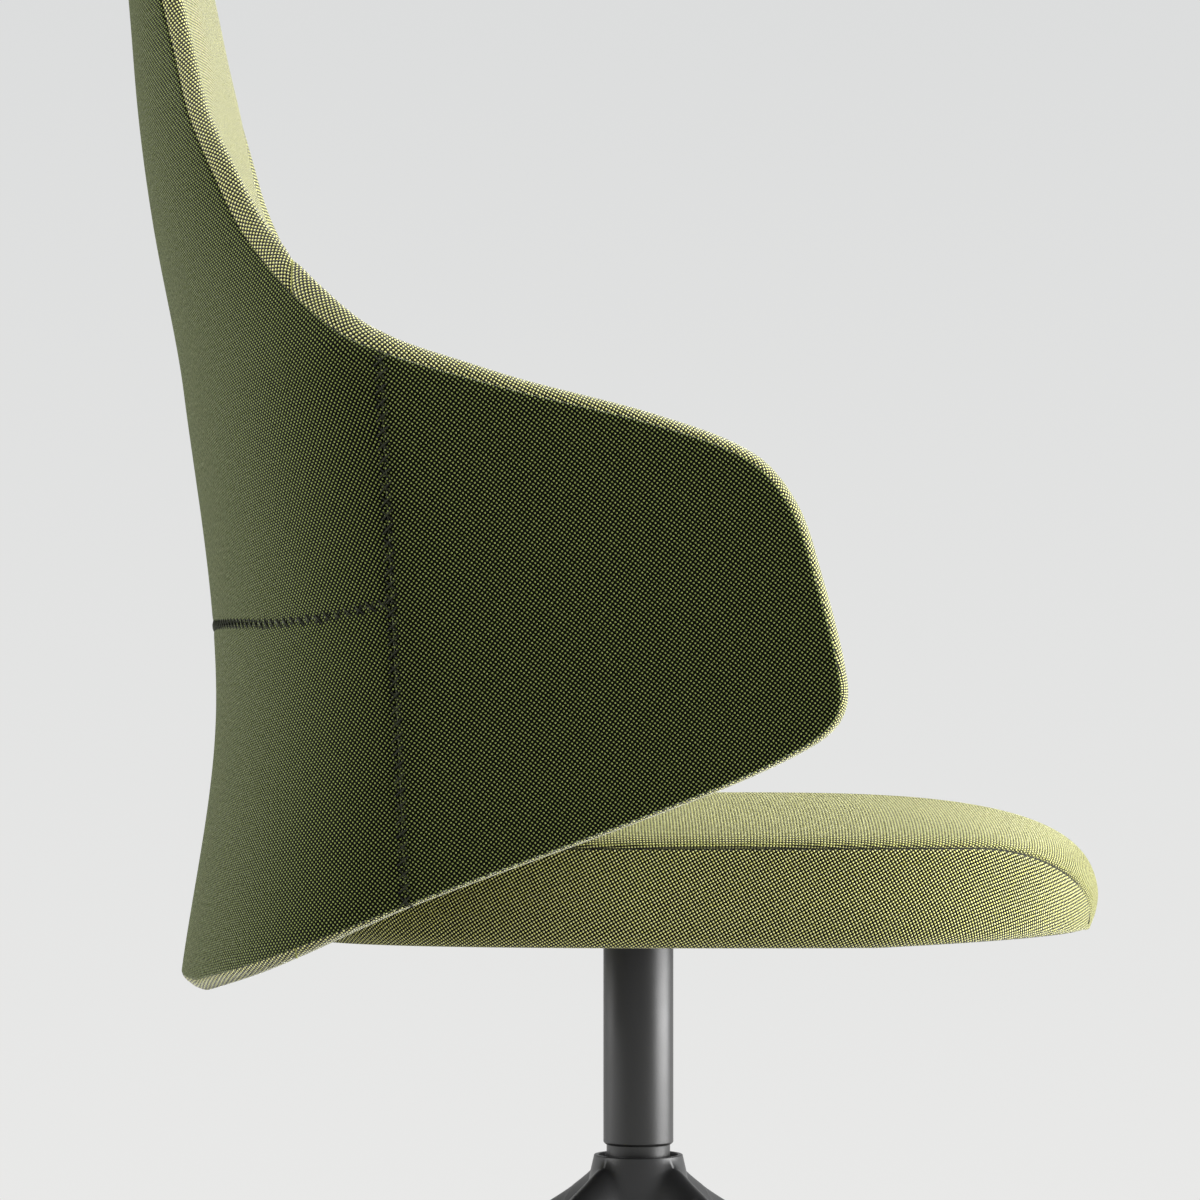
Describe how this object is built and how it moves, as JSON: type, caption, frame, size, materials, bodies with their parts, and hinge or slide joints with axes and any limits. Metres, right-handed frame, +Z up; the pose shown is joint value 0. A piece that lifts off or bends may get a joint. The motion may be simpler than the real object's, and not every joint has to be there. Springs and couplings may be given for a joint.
{
  "type": "swivel chair",
  "caption": "High-back upholstered swivel armchair: a padded wrap-round shell with floating arms and a crowned seat cushion, turning on a fixed column and a pyramid base with glides.",
  "frame": {"origin": "on the floor, under the middle of the chair's overall box", "axes": "+Z up, the sitter faces -Y, +X is the sitter's left"},
  "size_m": [0.6698, 0.7006, 1.2325],
  "materials": {
    "outer_woven_cloth": "matte two-tone woven cloth, dark green side",
    "inner_woven_cloth": "matte two-tone woven cloth, straw green side",
    "cut_foam": "cut upholstery foam",
    "moulded_plywood": "raw sanded plywood",
    "base_powder_coat": "black satin powder coat on cast aluminium",
    "column_powder_coat": "black satin powder coat on steel",
    "bright_steel": "ground",
    "zinc_plate": "zinc plated",
    "black_moulded_plastic": "fine spark-eroded texture",
    "white_acetal": "turned acetal"
  },
  "bodies": {
    "base": {"base_casting": "base_powder_coat", "column_tube": "column_powder_coat", "upper_bush": "white_acetal", "lower_bush": "white_acetal", "thrust_washer": "white_acetal", "retaining_washer": "zinc_plate", "retaining_clip": "bright_steel", "glide_stem_1": "zinc_plate", "glide_stem_2": "zinc_plate", "glide_stem_3": "zinc_plate", "glide_stem_4": "zinc_plate", "glide_foot_1": "black_moulded_plastic", "glide_foot_2": "black_moulded_plastic", "glide_foot_3": "black_moulded_plastic", "glide_foot_4": "black_moulded_plastic"},
    "seat": {"spindle": "bright_steel", "plate_socket": "column_powder_coat", "mounting_plate": "column_powder_coat", "seat_board": "moulded_plywood", "underside_cover": "black_moulded_plastic", "seat_foam": "cut_foam", "seat_top_panel": "inner_woven_cloth", "seat_side_band": "inner_woven_cloth", "plate_bolt_1": "zinc_plate", "plate_bolt_2": "zinc_plate", "plate_bolt_3": "zinc_plate", "plate_bolt_4": "zinc_plate", "tee_nut_1": "zinc_plate", "tee_nut_2": "zinc_plate", "tee_nut_3": "zinc_plate", "tee_nut_4": "zinc_plate", "tray_screw_1": "zinc_plate", "tray_screw_2": "zinc_plate", "tray_screw_3": "zinc_plate", "tray_screw_4": "zinc_plate", "right_back_bracket": "column_powder_coat", "left_back_bracket": "column_powder_coat", "right_board_bolt_1": "zinc_plate", "right_board_bolt_2": "zinc_plate", "left_board_bolt_1": "zinc_plate", "left_board_bolt_2": "zinc_plate", "right_core_bolt_1": "zinc_plate", "right_core_bolt_2": "zinc_plate", "left_core_bolt_1": "zinc_plate", "left_core_bolt_2": "zinc_plate", "shell_core": "moulded_plywood", "back_upper_cover": "outer_woven_cloth", "back_lower_cover": "outer_woven_cloth", "right_side_cover": "outer_woven_cloth", "left_side_cover": "outer_woven_cloth", "inner_back_pad": "inner_woven_cloth", "right_arm_pad": "inner_woven_cloth", "left_arm_pad": "inner_woven_cloth"}
  },
  "joints": [
    {"name": "seat_swivel", "type": "hinge", "parent": "base", "child": "seat", "pos_m": [0, -0.029, 0.25], "axis": [0, 0, 1], "continuous": true}
  ]
}
